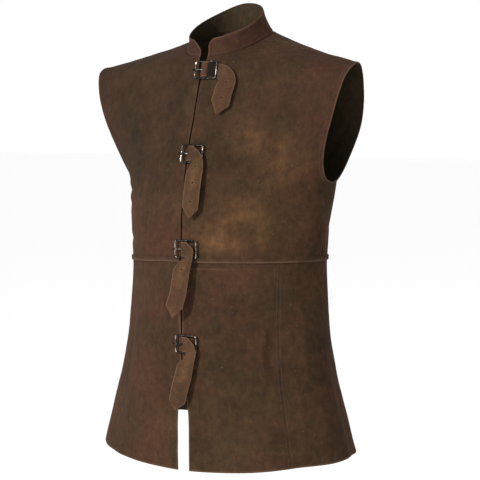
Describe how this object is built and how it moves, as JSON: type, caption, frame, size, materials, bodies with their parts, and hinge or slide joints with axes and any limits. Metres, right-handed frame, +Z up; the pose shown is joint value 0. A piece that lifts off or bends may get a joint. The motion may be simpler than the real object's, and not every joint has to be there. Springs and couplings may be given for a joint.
{
  "type": "jerkin",
  "caption": "Sleeveless suede jerkin with a stand collar, flared skirt and strap-and-buckle front, filled out as worn.",
  "frame": {"origin": "midway between the two points where the collar meets the shoulder seams, where the wearer's neck and shoulders hold it", "axes": "+Z up, along the body; +X towards the wearer's left; -Y the buckled front"},
  "size_m": [0.5666, 0.2995, 0.8369],
  "materials": {
    "suede": "napped brown suede, worn and mottled",
    "strap_suede": "napped brown suede, lighter than the body",
    "buckle_metal": "darkened nickel plate, worn bright on the edges"
  },
  "bodies": {
    "root": {"front_left": "suede", "front_right": "suede", "back": "suede", "skirt_front_left": "suede", "skirt_front_right": "suede", "skirt_back": "suede", "collar": "suede", "strap_1": "strap_suede", "chape_1": "strap_suede", "buckle_1": "buckle_metal", "prong_1": "buckle_metal", "strap_2": "strap_suede", "chape_2": "strap_suede", "buckle_2": "buckle_metal", "prong_2": "buckle_metal", "strap_3": "strap_suede", "chape_3": "strap_suede", "buckle_3": "buckle_metal", "prong_3": "buckle_metal", "strap_4": "strap_suede", "chape_4": "strap_suede", "buckle_4": "buckle_metal", "prong_4": "buckle_metal"}
  },
  "joints": []
}
